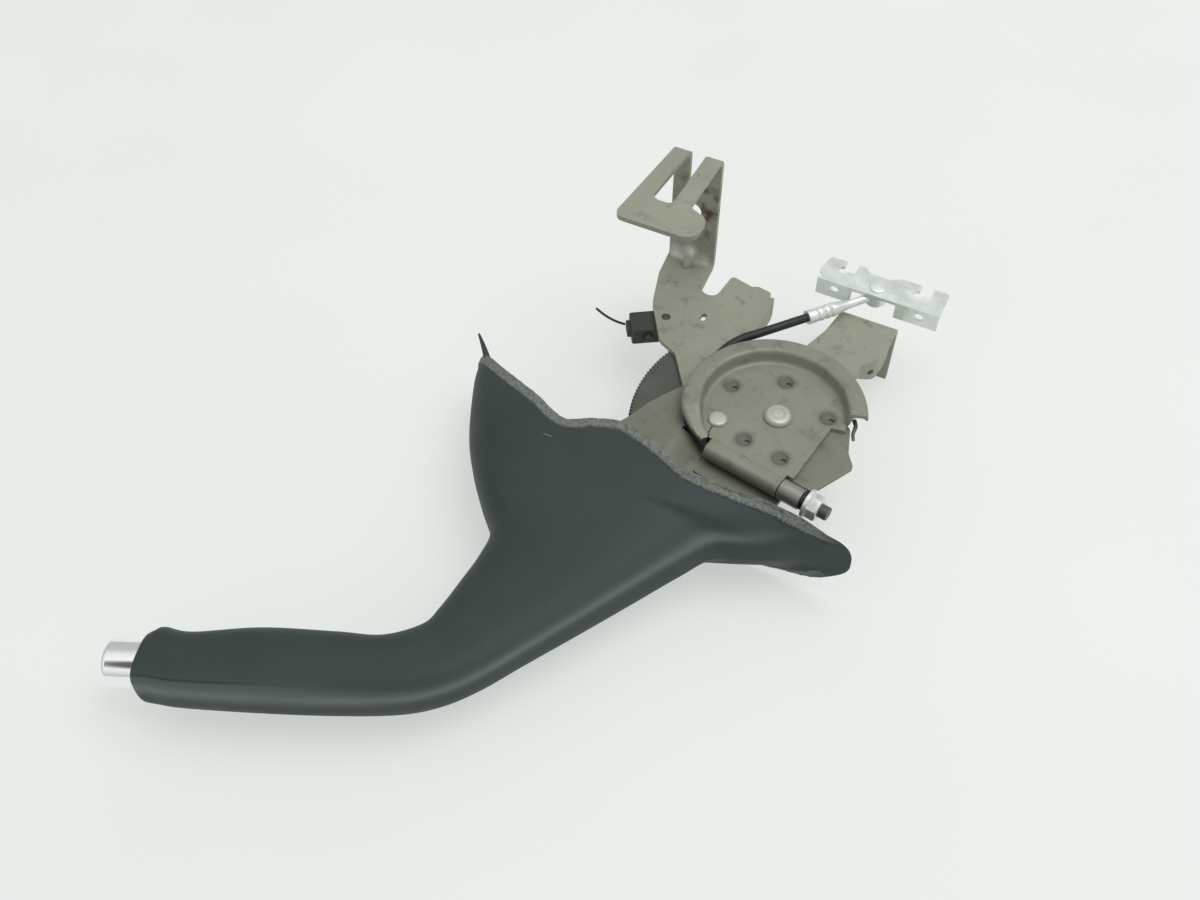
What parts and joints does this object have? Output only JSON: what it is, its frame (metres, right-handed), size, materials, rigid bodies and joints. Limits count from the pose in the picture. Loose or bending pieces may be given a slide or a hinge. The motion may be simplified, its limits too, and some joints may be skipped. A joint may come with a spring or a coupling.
{
  "type": "parking brake lever",
  "caption": "Car hand brake lever with a moulded grip and flared shroud, push button, ratchet bracket with folded feet, dished cable disc, adjuster nut and cable equaliser.",
  "frame": {"origin": "centre of the front mounting hole, on the face that meets the car's floor", "axes": "+X to the rear of the car, +Y down into the floor along the mounting bolts, +Z along the lever's pivot to the side that faces up on the table"},
  "size_m": [0.2523, 0.339, 0.102],
  "materials": {
    "olive_paint": "satin",
    "dark_steel": "satin",
    "bare_steel": "satin",
    "bush_brass": "satin",
    "black_plastic": "matte",
    "zinc_plate": "satin",
    "natural_plastic": "matte",
    "soft_black": "matte",
    "chrome_cap": "gloss"
  },
  "bodies": {
    "bracket": {"bracket": "olive_paint", "ratchet_sector": "dark_steel", "ratchet_rivets": "bare_steel", "pivot_bush": "bush_brass", "switch_body": "black_plastic", "switch_rivet": "zinc_plate", "switch_wire_stub": "black_plastic"},
    "lever": {"lever_arm": "olive_paint", "handle_tube": "bare_steel", "pivot_pin": "bare_steel", "pivot_spacer": "dark_steel", "thrust_washer": "bare_steel", "cable_sector": "olive_paint", "sector_rivet": "bare_steel", "grip_cover": "soft_black", "rod_guide": "natural_plastic", "pawl_pin": "bare_steel", "threaded_rod": "dark_steel", "end_bush": "bare_steel", "seat_ring": "black_plastic", "adjuster_nut": "zinc_plate", "cable_wrap": "black_plastic"},
    "button": {"button": "chrome_cap", "push_rod": "bare_steel", "button_spring": "zinc_plate"},
    "pawl": {"pawl": "dark_steel", "pawl_spring": "zinc_plate"},
    "cable_end": {"cable_run": "black_plastic", "cable_ferrule": "zinc_plate", "equaliser_pin": "zinc_plate"},
    "equaliser": {"equaliser": "zinc_plate"},
    "switch_plunger": {"switch_plunger": "natural_plastic"}
  },
  "joints": [
    {"name": "lever_pivot", "type": "hinge", "parent": "bracket", "child": "lever", "pos_m": [0.0795, -0.084, -0.042], "axis": [0, 0, 1], "range_deg": [0, 40], "deforming": ["cable_wrap"]},
    {"name": "button_slide", "type": "slide", "parent": "lever", "child": "button", "axis": [0.9178, 0.3971, 0], "range_m": [0, 0.005], "stiffness_N_per_m": 400, "springref_m": -0.01, "deforming": ["button_spring"]},
    {"name": "pawl_pivot", "type": "hinge", "parent": "lever", "child": "pawl", "pos_m": [0.0345, -0.1445, -0.042], "axis": [0, 0, 1], "range_deg": [0, 12.1], "deforming": ["pawl_spring"]},
    {"name": "cable_slide", "type": "slide", "parent": "bracket", "child": "cable_end", "axis": [-0.641, -0.7676, 0], "range_m": [0, 0.0263]},
    {"name": "equaliser_swivel", "type": "hinge", "parent": "cable_end", "child": "equaliser", "pos_m": [0.0935, 0.0085, -0.0255], "axis": [0, 0, 1], "range_deg": [-12, 12]},
    {"name": "switch_press", "type": "slide", "parent": "bracket", "child": "switch_plunger", "axis": [-0.5446, 0.8387, 0], "range_m": [0, 0.0015], "stiffness_N_per_m": 300, "springref_m": -0.003}
  ],
  "couplings": [
    {"joint": "pawl_pivot", "follows": "button_slide", "rad_per_m": 41.9},
    {"joint": "cable_slide", "follows": "lever_pivot", "m_per_rad": 0.0375}
  ]
}
